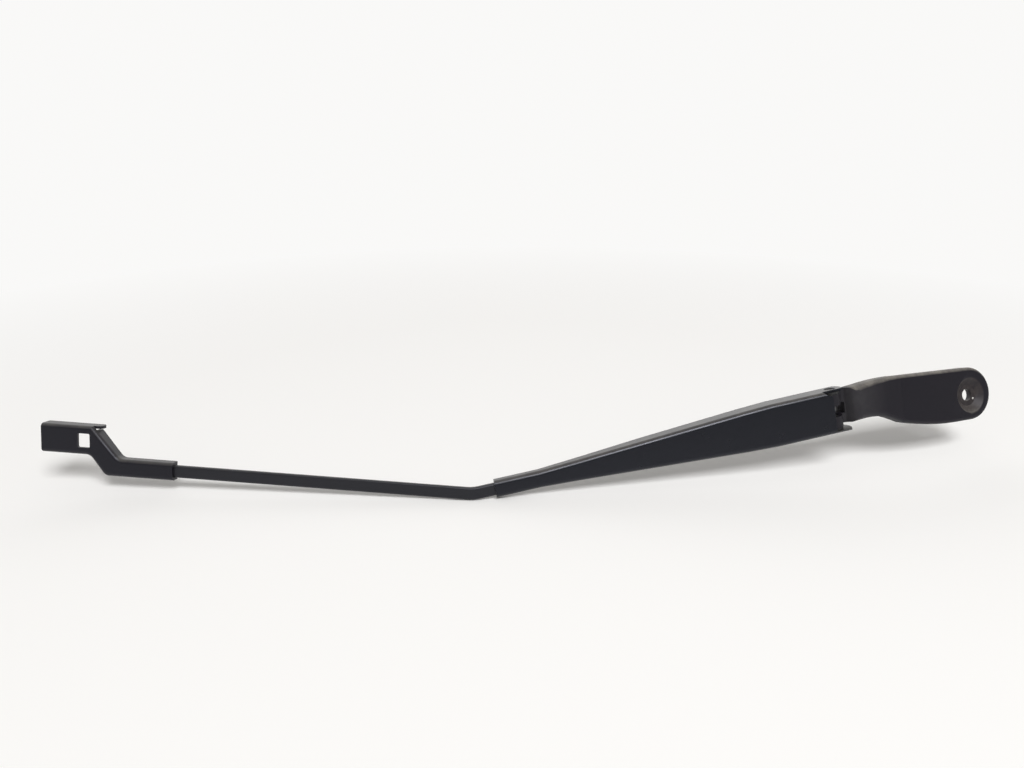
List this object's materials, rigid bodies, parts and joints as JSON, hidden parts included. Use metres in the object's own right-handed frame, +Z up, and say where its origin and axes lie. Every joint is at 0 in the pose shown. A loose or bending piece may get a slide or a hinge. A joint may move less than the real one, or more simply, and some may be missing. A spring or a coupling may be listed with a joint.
{
  "type": "windscreen wiper arm",
  "caption": "Car windscreen wiper arm: waisted mounting head with a dished nut seat, sprung hinge, tapering folded channel, bent flat bar and cranked blade holder.",
  "frame": {"origin": "on the spindle axis, in the plane of the nut's seat in the mounting head", "axes": "+X from the blade end towards the spindle, +Y towards the glass square to the head at the hinge, +Z up with the arm on its long edge as pictured; the spindle axis leans 20 degrees from +Y towards -Z"},
  "size_m": [0.635, 0.1772, 0.0621],
  "materials": {
    "head_paint": "satin black coating on a casting",
    "channel_paint": "satin black coating on folded sheet",
    "bar_paint": "satin black coating on a steel bar",
    "holder_paint": "satin black coating on pressed sheet",
    "bush": "matt",
    "steel": "dull",
    "spring_wire": "drawn wire, dull"
  },
  "bodies": {
    "head": {"mounting_head": "head_paint", "hinge_bush_upper": "bush", "hinge_bush_lower": "bush", "spring_anchor_pin": "steel"},
    "arm": {"arm_channel": "channel_paint", "arm_bar": "bar_paint", "blade_holder": "holder_paint", "hinge_rivet_upper": "steel", "hinge_rivet_lower": "steel"},
    "link": {"spring_link": "steel"},
    "spring": {"tension_spring": "spring_wire"}
  },
  "joints": [
    {"name": "arm_lift", "type": "hinge", "parent": "head", "child": "arm", "pos_m": [-0.11676, 0.00447, 0.00248], "axis": [-0.1182, 0.2419, 0.9631], "range_deg": [0, 82], "stiffness_Nm_per_rad": 1.5, "springref_deg": -91.67},
    {"name": "link_swing", "type": "hinge", "parent": "head", "child": "link", "pos_m": [-0.11163, 0.0103, 0.00164], "axis": [-0.1182, 0.2419, 0.9631], "range_deg": [0, 77.5]},
    {"name": "spring_stretch", "type": "slide", "parent": "arm", "child": "spring", "axis": [0.2161, -0.9404, 0.2627], "range_m": [0, 0.0082], "deforming": ["tension_spring"]}
  ],
  "couplings": [
    {"joint": "link_swing", "follows": "arm_lift", "ratio": 0.94171},
    {"joint": "spring_stretch", "follows": "arm_lift", "m_per_rad": 0.0056923}
  ]
}
